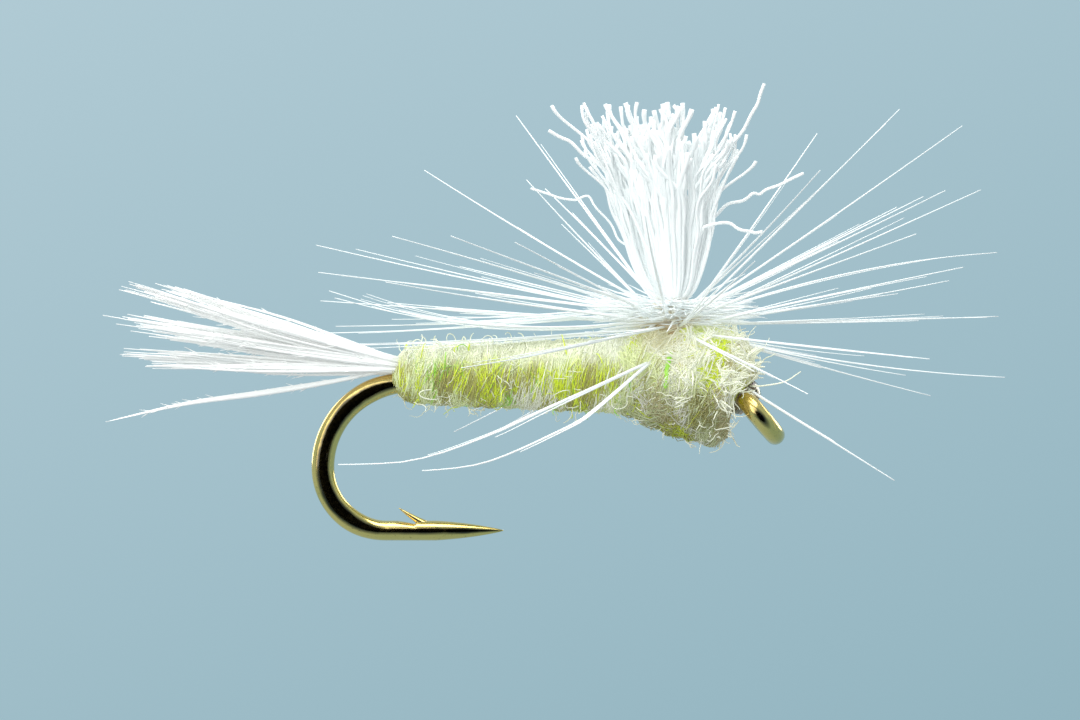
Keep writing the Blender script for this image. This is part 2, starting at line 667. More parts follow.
cream = (0.95, 0.98, 0.84)
lime = (0.80, 0.95, 0.04)
olive = (0.52, 0.51, 0.15)
brown = (0.44, 0.42, 0.14)
green = (0.36, 0.74, 0.05)
paleGreen = (0.84, 0.92, 0.54)
tan = (0.69, 0.65, 0.36)

abdomen = {
    "rear": 0.55, "front": 0.77, "middle": 0.62, "lift": 0.16, "turns": 14, "groove": 0.03,
    "coreShare": 0.965, "coreTint": (0.74, 0.76, 0.38), "paleTop": 0.9, "patch": 0.42,
    "fibres": 4300, "thick": 0.0118, "fine": 0.0075, "slant": 0.09, "fibreLength": (0.5, 1.5),
    "fuzz": 190, "fuzzLength": (0.2, 0.5), "loops": 52, "loopSize": (0.05, 0.13), "loopStretch": 2.6,
    "sideLoops": 30, "sideLoopSize": (0.08, 0.2), "strays": 30, "strayLength": (0.25, 0.75),
    "limeShare": 0.12, "greenShare": 0.04,
    # colour, then its share on top, at the side and below
    "mix": [(cream, 1.0, 0.16, 0.20), (lime, 0.10, 0.48, 0.30), (olive, 0.02, 0.34, 0.22),
            (brown, 0.0, 0.15, 0.05), (green, 0.0, 0.14, 0.12), (paleGreen, 0.30, 0.34, 0.9)]}

thorax = {
    # rings from the rear to the head: middle, top and bottom as (x, z), then half the width
    "rings": [
        ((-2.80, 0.80), (-2.85, 1.44), (-2.85, 0.14), 0.62),
        ((-2.50, 0.80), (-2.50, 1.60), (-2.50, 0.04), 0.80),
        ((-2.10, 0.78), (-2.10, 1.76), (-2.09, -0.15), 1.00),
        ((-1.65, 0.72), (-1.65, 1.80), (-1.60, -0.36), 1.10),
        ((-1.25, 0.68), (-1.15, 1.80), (-1.20, -0.46), 1.10),
        ((-0.92, 0.62), (-0.70, 1.70), (-0.90, -0.46), 1.00),
        ((-0.68, 0.56), (-0.36, 1.52), (-0.64, -0.29), 0.84),
        ((-0.57, 0.54), (-0.20, 1.14), (-0.62, -0.02), 0.62),
        ((-0.49, 0.51), (-0.13, 0.86), (-0.56, 0.17), 0.42),
        ((-0.44, 0.49), (-0.18, 0.68), (-0.50, 0.32), 0.26)],
    # how far the broad and the fine lumps push out, then how big they are
    "broadLumps": (0.05, 0.38), "fineLumps": (0.028, 0.15),
    "coreLow": (0.50, 0.48, 0.22), "coreHigh": (0.94, 0.96, 0.82), "coreInset": 0.05, "patch": 0.36,
    "fibres": 4000, "thick": 0.0125, "fine": 0.0085, "curl": 0.9, "fibreLength": (0.4, 1.2),
    "loops": 34, "loopSize": (0.05, 0.17), "strays": 26, "strayLength": (0.25, 0.8),
    "fuzz": 170, "fuzzLength": (0.25, 0.6), "tufts": 120, "perTuft": 7, "tuftLength": (0.18, 0.50),
    "stainX": -2.05, "stainWide": 0.36, "stain": 0.65,
    # the one bright fleck of lime fur, and the long curved hair ahead of the head
    "fleck": [(-1.90, -1.12, 0.60), (-1.87, -1.11, 0.92), (-1.80, -1.0, 1.27)],
    "fleckTint": (0.42, 0.80, 0.10),
    "hair": [(-0.2, -0.25, 0.60), (0.1, -0.3, 0.62), (0.5, -0.32, 0.70), (0.82, -0.3, 0.9)],
    "mix": [(cream, 1.0, 0.34, 0.14), (tan, 0.06, 0.40, 0.45), (paleGreen, 0.16, 0.56, 0.60),
            (olive, 0.01, 0.26, 0.60), (brown, 0.01, 0.12, 0.14), (lime, 0.07, 0.12, 0.12)]}


def pickTints(places, height, mix, patch, rng, seed):
    # one colour for each fibre: nearby fibres mostly share theirs, in streaky patches
    scores = []
    for i, (_, top, side, below) in enumerate(mix):
        share = np.where(height > 0, side + (top - side) * height, side + (below - side) * -height)
        patches = wobble(places * np.array([1.0, 0.55, 0.55]), patch, seed + i)
        scores.append(np.log(share + 1e-4) + 2.0 * patches + rng.gumbel(0, 0.55, len(places)))
    chosen = np.argmax(scores, axis=0)
    tints = np.array([row[0] for row in mix])[chosen]
    return np.clip(tints * rng.uniform(0.86, 1.06, (len(places), 1)), 0, 0.98)


def roundTheBody(x, a, radius, centreZ):
    # a point at angle a round the body: 0 is the near side and a quarter turn is the top
    return np.stack([x, -radius * np.cos(a), centreZ + radius * np.sin(a)], -1)


def layFibres(placeOn, x, a, heading, curl, length, lift, steps):
    # fibres that lie on the body and turn as they go; heading 90 runs straight round it
    x, a = x.copy(), a.copy()
    phi = np.radians(heading)
    made = np.empty((len(x), steps, 3))
    for i in range(steps):
        t = i / (steps - 1)
        made[:, i], girth = placeOn(x, a, lift * math.sin(math.pi * t) - 0.02 * mm)
        step = length / (steps - 1)
        x = x + np.cos(phi) * step
        a = a + np.sin(phi) * step / np.maximum(girth, 0.25 * mm)
        phi = phi + curl * step / mm
    return made


def abdomenPlaces():
    low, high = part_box("abdomen_dubbing")
    s = abdomen
    length = high.x - low.x

    def radiusAt(x):
        t = np.clip((x - low.x) / length, 0, 1)
        bump = np.abs(np.sin(math.pi * s["turns"] * t))
        plain = (s["rear"] + (s["front"] - s["rear"]) * t) * mm
        ends = 1 - 0.5 * np.exp(-(np.maximum(x - low.x, 0) / (0.16 * mm)) ** 1.5)
        return (plain - s["groove"] * mm * (1 - bump)) * ends

    def placeOn(x, a, lift):
        radius = radiusAt(x) + lift
        return roundTheBody(x, a, radius, shankZ + s["lift"] * mm), radius

    return low.x, high.x, shankZ + s["lift"] * mm, radiusAt, placeOn


def thoraxPlaceOn(x, a, lift):
    # x runs along the thorax, from its rear ring to the one at the head, in a bent body
    s = thorax
    table = np.array([[*middle, *top, *bottom, half] for middle, top, bottom, half in s["rings"]]) * mm
    midX, midZ, topX, topZ, lowX, lowZ, half = [np.interp(x, table[:, 0], column) for column in table.T]
    up = np.sin(a)
    reachX = np.where(up > 0, topX - midX, midX - lowX) * up
    reachZ = np.where(up > 0, topZ - midZ, midZ - lowZ) * up
    out = np.stack([reachX, -half * np.cos(a), reachZ], -1)
    girth = np.linalg.norm(out, axis=-1)
    middle = np.stack([midX, 0 * midX, midZ], -1)
    found = middle + out
    push = sum(height * mm * wobble(found, size * mm, 40 + k)
               for k, (height, size) in enumerate((s["broadLumps"], s["fineLumps"])))
    return found + unit(out) * (push + lift)[..., None], girth


def curlyLoops(rng, starts, outwards, tangents, size, turnsLow, turnsHigh, steps=16):
    # a fibre that leaves the body, winds round in a ring or two and comes to a free end
    count = len(starts)
    t = np.linspace(0, 1, steps)[None, :]
    turns = rng.uniform(turnsLow, turnsHigh, (count, 1))
    radius = rng.uniform(*size, (count, 1)) * mm
    sense = rng.choice([-1, 1], (count, 1))
    angle = sense * 2 * math.pi * turns * t
    opening = 1 + 0.5 * t * rng.uniform(-1, 1, (count, 1))
    reach = radius * opening * np.sin(angle)
    climb = radius * opening * (1 - np.cos(angle)) + 0.05 * mm * t
    twist = rng.normal(0, 0.35, (count, 1)) * radius * t
    third = np.cross(outwards, tangents)
    return (starts[:, None] + reach[..., None] * tangents[:, None] + climb[..., None] * outwards[:, None]
            + twist[..., None] * third[:, None])


def kinkedStrays(rng, starts, directions, reach, steps=14, kink=0.3):
    # loose hairs with a few soft kinks
    count = len(starts)
    length = rng.uniform(*reach, count) * mm
    heading = directions.copy()
    made = np.empty((count, steps, 3))
    place = starts.copy()
    for i in range(steps):
        made[:, i] = place
        place = place + heading * (length / (steps - 1))[:, None]
        heading = unit(heading + rng.normal(0, kink, (count, 3)))
    return made


def surfaceStarts(rng, count, placeOn, xLow, xHigh, aLow, aHigh):
    # where loose fibres leave the body, with the way out and a way along the surface at each place
    x = rng.uniform(xLow, xHigh, count)
    a = np.radians(rng.uniform(aLow, aHigh, count))
    starts = placeOn(x, a, -0.03 * mm + 0 * x)[0]
    out = unit(placeOn(x, a, 0.1 * mm + 0 * x)[0] - starts)
    spin = rng.uniform(0, 2 * math.pi, count)
    girthwise = np.cross(np.tile([1.0, 0, 0], (count, 1)), out)
    tangents = np.cos(spin)[:, None] * np.array([1.0, 0, 0]) + np.sin(spin)[:, None] * girthwise
    return starts, out, tangents


def tapered(count, steps, thick, rng, tip=0.35, spread=0.25):
    # radii that swell from a thin root and narrow to the tip, a little different for each fibre
    t = np.linspace(0, 1, steps)[None, :]
    size = thick * mm * rng.uniform(1 - spread, 1 + spread, (count, 1))
    return size * (1 - (1 - tip) * t ** 3) * (0.55 + 0.45 * np.minimum(1, 6 * t))


def makeAbdomen():
    s = abdomen
    rng = np.random.default_rng(71)
    xLow, xHigh, centreZ, radiusAt, placeOn = abdomenPlaces()
    outline = [(x, float(radiusAt(np.array(x))) * s["coreShare"]) for x in np.linspace(xLow, xHigh, 110)]
    core = lathe((0, 0, centreZ), (1, 0, 0), outline, s["coreTint"], sides=48)
    count, steps = s["fibres"], 7
    for layer, (name, thick, raised, solids, stoodFor) in enumerate((
            ("abdomen_wound_fur", s["thick"], 0.018, [core], ["abdomen_dubbing"]),
            ("abdomen_fine_fur", s["fine"], 0.032, [], []))):
        x = rng.uniform(xLow - 0.02 * mm, xHigh, count)
        a = rng.uniform(0, 2 * math.pi, count)
        heading = 90 - np.degrees(np.arctan2(s["slant"], s["middle"])) + rng.normal(0, 7 + 7 * layer, count)
        length = rng.uniform(*s["fibreLength"], count) * mm
        lift = np.abs(rng.normal(raised, 0.02, count)) * mm
        curl = rng.normal(0, 0.25 + 0.4 * layer, count)
        laid = layFibres(placeOn, x, a - length / (1.3 * mm), heading, curl, length, lift, steps)
        laid[:, :, 0] = np.maximum(laid[:, :, 0], xLow - 0.03 * mm)
        middle = laid[:, steps // 2]
        height = np.clip((middle[:, 2] - centreZ) / (s["middle"] * mm), -1, 1)
        tints = pickTints(middle, height, s["mix"], s["patch"] * mm, rng, 300)
        # each fibre pales where it passes over the top
        tone = np.repeat(tints[:, None], steps, axis=1)
        overTop = ease((laid[:, :, 2] - centreZ) / (0.6 * mm) * 1.3 - 0.1)[..., None]
        tone = tone + (np.array(cream) - tone) * overTop * s["paleTop"]
        solids.append(tube(laid, tapered(count, steps, thick, rng), tone, sides=3))
        piece = makePiece(name, solids, abdomenFur, "abdomen_fur", *stoodFor)
        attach(piece, "root")

    # raised fuzz, curly loops and loose hairs
    starts, out, tangent = surfaceStarts(rng, s["fuzz"], placeOn, xLow, xHigh, 0, 360)
    fuzz = kinkedStrays(rng, starts, unit(out * 0.4 + tangent), s["fuzzLength"], kink=0.25)
    loopsEnd = xLow + s["loopStretch"] * mm
    starts, out, tangent = surfaceStarts(rng, s["loops"], placeOn, xLow, loopsEnd, 20, 160)
    loops = curlyLoops(rng, starts, out, tangent, s["loopSize"], 0.45, 1.1)
    starts, out, tangent = surfaceStarts(rng, s["sideLoops"], placeOn, xLow + 0.1 * mm, xHigh, -70, 60)
    out = out * 0.35 + 0.65 * tangent[:, [0, 2, 1]]
    sideLoops = curlyLoops(rng, starts, out, tangent, s["sideLoopSize"], 0.4, 1.0)
    starts, out, tangent = surfaceStarts(rng, s["strays"], placeOn, xLow, xHigh, 235, 305)
    hairs = kinkedStrays(rng, starts, unit(out + 0.7 * tangent), s["strayLength"], kink=0.38)
    solids = []
    for laid, thick in ((fuzz, 0.009), (loops, 0.013), (sideLoops, 0.013), (hairs, 0.011)):
        shade = np.array(cream) * rng.uniform(0.9, 1.0, (len(laid), 1))
        shade[rng.uniform(0, 1, len(laid)) < s["limeShare"]] = lime
        shade[rng.uniform(0, 1, len(laid)) < s["greenShare"]] = green
        solids.append(tube(laid, tapered(len(laid), laid.shape[1], thick, rng, tip=0.5), shade, sides=4))
    piece = makePiece("abdomen_loose_fur", solids, abdomenFur, "abdomen_fur")
    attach(piece, "root")


def thoraxCore(xLow, xHigh):
    # the felted core, under the fibres
    s = thorax
    rows, sides = 80, 72
    around = np.tile(2 * math.pi * np.arange(sides) / sides, rows)
    along = np.repeat(np.linspace(xLow, xHigh, rows), sides)
    points = thoraxPlaceOn(along, around, -s["coreInset"] * mm + 0 * along)[0]
    faces = [face[::-1] for face in ringFaces(rows, sides)]
    high = ease((points[:, 2] / mm + 0.3) / 1.6)[:, None]
    low = np.array(s["coreLow"])
    return points, faces, low + (np.array(s["coreHigh"]) - low) * high


def makeThorax():
    s = thorax
    rng = np.random.default_rng(72)
    xLow, xHigh = s["rings"][0][0][0] * mm, s["rings"][-1][0][0] * mm
    count, steps = s["fibres"], 8
    for name, thick, raised, solids, stoodFor in (
            ("thorax_wound_fur", s["thick"], 0.03, [thoraxCore(xLow, xHigh)], ["thorax_dubbing"]),
            ("thorax_fine_fur", s["fine"], 0.05, [], [])):
        x = xLow + (xHigh - xLow) * rng.uniform(0, 1, count) ** 0.85
        a = rng.uniform(0, 2 * math.pi, count)
        heading = 62 + rng.normal(0, 38, count)
        length = rng.uniform(*s["fibreLength"], count) * mm
        lift = np.abs(rng.normal(raised, 0.04, count)) * mm
        curl = rng.normal(0, s["curl"], count)
        laid = layFibres(thoraxPlaceOn, x, a - length / (2.2 * mm), heading, curl, length, lift, steps)
        middle = laid[:, steps // 2]
        forward = ease(middle[:, 0] / mm + 1.6)
        height = np.clip((middle[:, 2] - shankZ) / mm + 0.1 + 0.65 * forward, -1, 1)
        tints = pickTints(middle, height, s["mix"], s["patch"] * mm, rng, 500)
        # darker below, where little light reaches
        tints = tints * (0.62 + 0.42 * ease((middle[:, 2] / mm + 0.25) / 1.8))[:, None]
        # a tan patch on top, below the hackle
        stain = np.exp(-((middle[:, 0] / mm - s["stainX"]) / s["stainWide"]) ** 2)
        stain = s["stain"] * stain * ease((middle[:, 2] / mm - 1.3) / 0.3)
        tints = tints + (np.array(tan) - tints) * stain[:, None]
        solids.append(tube(laid, tapered(count, steps, thick, rng, tip=0.5), tints, sides=3))
        piece = makePiece(name, solids, thoraxFur, "thorax_fur", *stoodFor)
        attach(piece, "root")

    # curly loops, loose hairs at the head, fuzz, and short tufts mostly on the front and top
    starts, out, tangent = surfaceStarts(rng, s["loops"], thoraxPlaceOn, xLow, xHigh, -100, 280)
    out = out * 0.6 + 0.4 * tangent[:, [1, 2, 0]]
    loops = curlyLoops(rng, starts, out, tangent, s["loopSize"], 0.4, 1.1)
    starts, out, tangent = surfaceStarts(rng, s["strays"], thoraxPlaceOn, -1.0 * mm, xHigh, -110, 110)
    hairs = kinkedStrays(rng, starts, unit(out + 0.5 * tangent + [0.5, 0, 0]), s["strayLength"], kink=0.25)
    starts, out, tangent = surfaceStarts(rng, s["fuzz"], thoraxPlaceOn, xLow, xHigh, 0, 360)
    fuzz = kinkedStrays(rng, starts, unit(out * 0.5 + tangent), s["fuzzLength"], kink=0.3)
    starts, out, tangent = surfaceStarts(rng, s["tufts"], thoraxPlaceOn, -1.6 * mm, xHigh, -14, 190)
    tuftFibres = s["tufts"] * s["perTuft"]
    starts = np.repeat(starts, s["perTuft"], axis=0) + rng.normal(0, 0.035, (tuftFibres, 3)) * mm
    lean = np.repeat(unit(out * 0.55 + tangent), s["perTuft"], axis=0) + rng.normal(0, 0.14, (tuftFibres, 3))
    tufts = kinkedStrays(rng, starts, unit(lean), s["tuftLength"], steps=6, kink=0.14)
    solids = []
    for laid, thick in ((loops, 0.013), (hairs, 0.013), (fuzz, 0.010), (tufts, 0.018)):
        shade = np.array(cream) * rng.uniform(0.9, 1.0, (len(laid), 1))
        solids.append(tube(laid, tapered(len(laid), laid.shape[1], thick, rng, tip=0.6), shade, sides=4))
    fleck = smoothPath(np.array(s["fleck"]) * mm, 12)
    for shift in np.linspace(-0.035, 0.035, 6):
        line = fleck + np.array([shift, 0.3 * abs(shift), rng.uniform(-0.06, 0.06)]) * mm
        solids.append(tube(line, 0.012 * mm, s["fleckTint"], sides=4))
    hair = smoothPath(np.array(s["hair"]) * mm, 20)
    solids.append(tube(hair, np.linspace(0.018, 0.012, 20) * mm, cream, sides=5))
    piece = makePiece("thorax_loose_fur", solids, thoraxFur, "thorax_fur")
    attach(piece, "root")


makeAbdomen()
makeThorax()
print("abdomen and thorax made")


# wing

wing = {"fibres": 120, "steps": 34, "thick": 0.040, "locks": 14, "height": 3.95, "lean": 5,
        "foot": 0.27, "topWide": 1.55, "topDeep": 0.95, "crimp": 0.10, "wave": 1.2,
        # where along a fibre its cut end starts to hook over, and how far it swings, flares and drops
        "hookFrom": 0.72, "hookSwing": 0.16, "hookFlare": 0.26, "hookDrop": 0.07,
        "strayThick": 0.034, "straySway": 0.035, "white": (0.92, 0.955, 0.955)}


def makeWingHalf(name, side, nodeName, seed):
    s = wing
    rng = np.random.default_rng(seed)
    count, steps = s["fibres"], s["steps"]
    # each fibre belongs to a lock, which frays towards its top
    angle = rng.uniform(0, math.pi, s["locks"])
    far = np.sqrt(rng.uniform(0.02, 1, s["locks"]))
    lockPlace = np.stack([far * np.cos(angle), far * np.sin(angle)], 1)
    lockTall = rng.uniform(0.80, 1.05, s["locks"])
    lock = np.arange(count) % s["locks"]
    place = lockPlace[lock] + rng.normal(0, 0.075, (count, 2))
    place[:, 1] = np.abs(place[:, 1])
    reach = np.linalg.norm(place, axis=1, keepdims=True)
    place = place / np.maximum(reach, 1) * np.where(reach > 1, rng.uniform(0.95, 1.06, reach.shape), 1)
    tall = np.minimum(lockTall[lock] * rng.uniform(0.82, 1.04, count), 1.0)
    t = np.linspace(0, 1, steps)[None, :] * tall[:, None]
    flare = 0.17 * (1 - np.exp(-t / 0.06)) + 0.83 * t ** 0.85
    wide = s["foot"] + (s["topWide"] - s["foot"]) * flare
    deep = s["foot"] + (s["topDeep"] - s["foot"]) * flare
    x = place[:, 0:1] * wide - s["height"] * t * math.tan(math.radians(s["lean"]))
    y = side * (0.012 + place[:, 1:2] * deep)
    z = s["height"] * t
    # the crimp left by the spinning of the yarn, shared by a lock and stronger towards the cut ends
    phase = rng.uniform(0, 2 * math.pi, s["locks"])[lock][:, None] + rng.normal(0, 0.7, (count, 1))
    pace = 2 * math.pi / (s["wave"] * rng.uniform(0.8, 1.25, (count, 1)))
    strength = s["crimp"] * (0.12 + 0.88 * ease(t * 1.15 - 0.1)) * rng.uniform(0.5, 1.3, (count, 1))
    swing = rng.uniform(0, math.pi, (count, 1))
    ripple = np.sin(pace * z + phase)
    x = x + strength * ripple * np.cos(swing)
    y = y + side * strength * ripple * np.sin(swing) * 0.8
    # cut ends that hook over
    hook = ease((t / tall[:, None] - s["hookFrom"]) / (1 - s["hookFrom"]))
    x = x + hook * rng.normal(0, s["hookSwing"], (count, 1)) + hook * s["hookFlare"] * place[:, 0:1]
    z = z - hook * np.abs(rng.normal(0, s["hookDrop"], (count, 1)))
    points = np.stack([x, y, z], -1) * mm + wingRoot + np.array([0, 0, 0.005 * mm])
    points[:, :, 1] = side * np.maximum(side * points[:, :, 1], 0.01 * mm)
    thick = np.full((count, steps), s["thick"] * mm) * rng.uniform(0.8, 1.12, (count, 1))
    thick[:, -2:] *= 1.2
    shade = np.array(s["white"]) * rng.uniform(0.93, 1.0, (count, 1))
    yarn = tube(points, thick, shade, sides=6, flat=0.72)
    piece = makePiece(name, [yarn], wingYarn, "wing_yarn", nodeName)
    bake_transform(piece)


def makeWingStrays():
    s = wing
    rng = np.random.default_rng(93)
    t = np.linspace(0, 1, 44)
    solids = []
    for line in middleLines("wing_strays", wingRoot):
        fine = smoothPath(line, len(t))
        sway = np.sin(2 * math.pi * t * rng.uniform(4, 6) + rng.uniform(0, 6)) * ease(3 * t) * ease(3 - 3 * t)
        fine = fine + s["straySway"] * mm * sway[:, None] * unit(rng.normal(0, 1, 3))
        solids.append(tube(fine, s["strayThick"] * mm, s["white"], sides=6, flat=0.75))
    piece = makePiece("wing_loose_yarn", solids, wingYarn, "wing_yarn", "wing_strays")
    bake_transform(piece)


makeWingHalf("wing_yarn_strands_near", -1, "wing_yarn_near", 81)
makeWingHalf("wing_yarn_strands_far", 1, "wing_yarn_far", 82)
makeWingStrays()
print("wing made")


# hackle

hackle = {"steps": 18, "root": 0.040, "tip": 0.012, "mates": (2, 2, 1, 1), "spread": 0.028, "turnPitch": 0.11,
          "trappedMates": 2, "trappedSpread": 0.012, "trappedStout": 1.25,
          # barbs that lie back over the body, this far behind the wing and no higher, have more mates
          "backReach": 4.5, "backRise": 1.2, "backMates": 2,
          "web": 150, "webFoot": 0.3, "webLength": (0.45, 1.7), "webThick": 0.024, "webLean": 1.5,
          "white": (0.93, 0.965, 0.965), "tan": (0.80, 0.72, 0.50),
          # the share of tan strands in the web of each turn, from the lowest
          "stains": (0.75, 0.4, 0.1, 0.0),
          # where the barbs caught under the thorax and behind the head come out, as (x, y, z)
          "sideRoot": (-2.15, -0.85, 1.12), "headRoot": (-0.35, -0.25, 0.62)}


def barbStrands(lines, rng, mates, spread):
    # each barb with a few thinner neighbours that leave the stem beside it
    s = hackle
    steps = s["steps"]
    points, sizes = [], []
    t = np.linspace(0, 1, steps)
    for line in lines:
        fine = evenPath(line, steps)
        tip = fine[-1]
        length = np.linalg.norm(tip - fine[0])
        points.append(fine)
        sizes.append(1.0)
        lyingBack = tip[0] < wingRoot[0] - s["backReach"] * mm and tip[2] < wingRoot[2] + s["backRise"] * mm
        for _ in range(mates + s["backMates"] if lyingBack else mates):
            keep = rng.uniform(0.5, 0.97)
            aside = rng.normal(0, spread, 3) * [1, 1, 0.55]
            bow = rng.normal(0, 0.25 * spread, 3)
            mate = evenPath(smoothPath(fine, 40)[:int(40 * keep)], steps)
            mate = mate + (t[:, None] * aside + (t * t)[:, None] * bow) * length * keep
            points.append(mate)
            sizes.append(rng.uniform(0.55, 0.9))
    return np.array(points), np.array(sizes), t


def fromBody(line):
    # a caught barb leaves the fur where it was caught, not at the post
    root = np.array(hackle["sideRoot" if line[-1][0] < wingRoot[0] else "headRoot"]) * mm
    rest = evenPath(line, 12)[5:]
    return np.concatenate([[root], rest])


def hackleWeb(rng, level, stain):
    # the short webby bases of the barbs, packed close round the post
    s = hackle
    count, steps = s["web"], 7
    angle = rng.uniform(0, 2 * math.pi, count)
    outwards = np.stack([np.cos(angle), np.sin(angle), 0 * angle], 1)
    starts = np.array([wingRoot[0], 0, level]) + outwards * s["webFoot"] * mm
    starts[:, 2] += rng.uniform(-0.05, 0.05, count) * mm
    rise = np.stack([0 * angle, 0 * angle, rng.normal(0.06, 0.13, count)], 1)
    # those on the near and far side lie over to the left or the right
    lean = rng.normal(0, 0.6, count)
    lean = lean + rng.choice([-s["webLean"], s["webLean"]], count) * np.abs(outwards[:, 1])
    sweep = np.cross(outwards, [0, 0, 1.0]) * lean[:, None]
    laid = kinkedStrays(rng, starts, unit(outwards + rise + sweep), s["webLength"], steps=steps, kink=0.03)
    shade = np.array(s["white"]) * rng.uniform(0.94, 1.0, (count, 1))
    # the lower strands are tan where they leave the quill
    stained = (rng.uniform(0, 1, count) < stain)[:, None, None]
    root = (1 - ease(np.linspace(0, 1, steps) * 2.2 - 0.3))[None, :, None]
    shade = shade[:, None, :] + (np.array(s["tan"]) - shade[:, None, :]) * stained * root
    return tube(laid, tapered(count, steps, s["webThick"], rng, tip=0.25), shade, sides=5, flat=0.7)


def makeBarbs(name, nodeName, seed, mates, spread, webLevel=None, stain=0.0):
    # one turn's barbs with the web at their roots, or the trapped ones, which have no web
    s = hackle
    rng = np.random.default_rng(seed)
    lines = middleLines(nodeName, np.array([wingRoot[0], 0, wingRoot[2] - 0.4 * mm]))
    stout = 1.0
    if webLevel is None:
        lines = [fromBody(line) for line in lines]
        stout = s["trappedStout"]
    points, sizes, t = barbStrands(lines, rng, mates, spread)
    points = np.clip(points, np.array(cadBox[0]), np.array(cadBox[1]))
    taper = s["tip"] + (s["root"] - s["tip"]) * (1 - t) ** 1.2
    shade = np.array(s["white"]) * rng.uniform(0.95, 1.0, (len(points), 1))
    solids = [tube(points, taper[None, :] * sizes[:, None] * stout * mm, shade, sides=6, flat=0.7)]
    if webLevel is not None:
        solids.append(hackleWeb(rng, webLevel, stain))
    piece = makePiece(name, solids, hackleBarb, "hackle_barb", nodeName)
    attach(piece, "root")


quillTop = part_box("hackle_quill")[1].z
for number, (mates, stain) in enumerate(zip(hackle["mates"], hackle["stains"]), 1):
    makeBarbs(f"hackle_turn_{number}_barbs", f"hackle_barbs_turn_{number}", 60 + number, mates,
              hackle["spread"], quillTop - (4.5 - number) * hackle["turnPitch"] * mm, stain)
makeBarbs("hackle_trapped_barbs", "hackle_low_barbs", 65, hackle["trappedMates"], hackle["trappedSpread"])
print("hackle made")


# tail

tail = {"bunches": 5, "perBunch": 14, "steps": 18, "root": 0.044, "tip": 0.010, "length": 5.9,
        "fan": 8, "slopeSpread": 1.1, "fanSpread": 1.6, "rootLevel": 0.09, "rootHalfWidth": 0.16,
        "barbules": 420, "barbuleLength": (0.12, 0.34),
        "strayBarbules": 70, "strayBarbuleLength": (0.12, 0.3),
        "white": (0.97, 0.98, 0.97),
        # level of the roots, then the lowest and highest slope of the clump
        "upper": (1, 13.5, 19.5), "middle": (0, 6.5, 11.5), "lower": (-1, 0.5, 5.0)}


def makeTailClump(name, nodeName, level, lowSlope, highSlope, seed):
    s = tail
    rng = np.random.default_rng(seed)
    count = s["bunches"] * s["perBunch"]
    bunch = np.arange(count) % s["bunches"]
    t = np.linspace(0, 1, s["steps"])[None, :]
    bunchSlope = lowSlope + (highSlope - lowSlope) * (np.arange(s["bunches"]) + 0.5) / s["bunches"]
    rng.shuffle(bunchSlope)
    bunchFan = np.linspace(-s["fan"], s["fan"], s["bunches"])
    bunchLong = rng.uniform(0.80, 1.0, s["bunches"])
    # the fibres of a bunch spread in the middle and draw together towards its tip
    loose = 1 - 0.92 * ease((t - 0.35) / 0.6)
    slope = bunchSlope[bunch][:, None] + rng.normal(0, s["slopeSpread"], (count, 1)) * loose
    fan = bunchFan[bunch][:, None] + rng.normal(0, s["fanSpread"], (count, 1)) * loose
    length = (s["length"] * bunchLong[bunch] * rng.uniform(0.66, 1.0, count) ** 0.8)[:, None]
    rootY = (bunchFan[bunch] / s["fan"] * s["rootHalfWidth"] + rng.normal(0, 0.05, count))[:, None]
    rootZ = (level * s["rootLevel"] + rng.uniform(-0.05, 0.05, count))[:, None]
    swell = np.sin(math.pi * np.clip(t * 1.2, 0, 1)) * 0.05 * rng.normal(0, 1, (count, 1))
    # the roots reach a little way into the body
    x = 0.2 * (1 - t) ** 6 - length * t * np.cos(np.radians(fan))
    y = rootY + length * t * np.sin(np.radians(fan)) + swell
    droop = -0.12 * t * t * rng.uniform(0, 1, (count, 1)) * loose
    z = rootZ + length * t * np.tan(np.radians(slope)) + swell * 0.6 + droop
    points = np.stack([x, y, z], -1) * mm + tailRoot
    size = rng.uniform(0.75, 1.1, (count, 1))
    thick = (s["tip"] + (s["root"] - s["tip"]) * (1 - t ** 1.6)) * size * mm
    shade = np.array(s["white"]) * rng.uniform(0.95, 1.0, (count, 1))
    fibres = tube(points, thick, shade, sides=5, flat=0.8)
    # short barbules along the fibres
    many = s["barbules"]
    picks = rng.integers(0, count, many)
    places = rng.integers(1, s["steps"] - 4, many)
    starts = points[picks, places]
    forward = unit(points[picks, places + 1] - starts)
    away = unit(rng.normal(0, 1, (many, 3)) * [0.2, 1, 1])
    hairs = kinkedStrays(rng, starts, unit(forward + 0.36 * away), s["barbuleLength"], steps=5, kink=0.05)
    barbules = tube(hairs, tapered(many, 5, 0.012, rng, tip=0.3), s["white"], sides=3)
    piece = makePiece(name, [fibres, barbules], tailFibre, "tail_fibre", nodeName)
    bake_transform(piece)


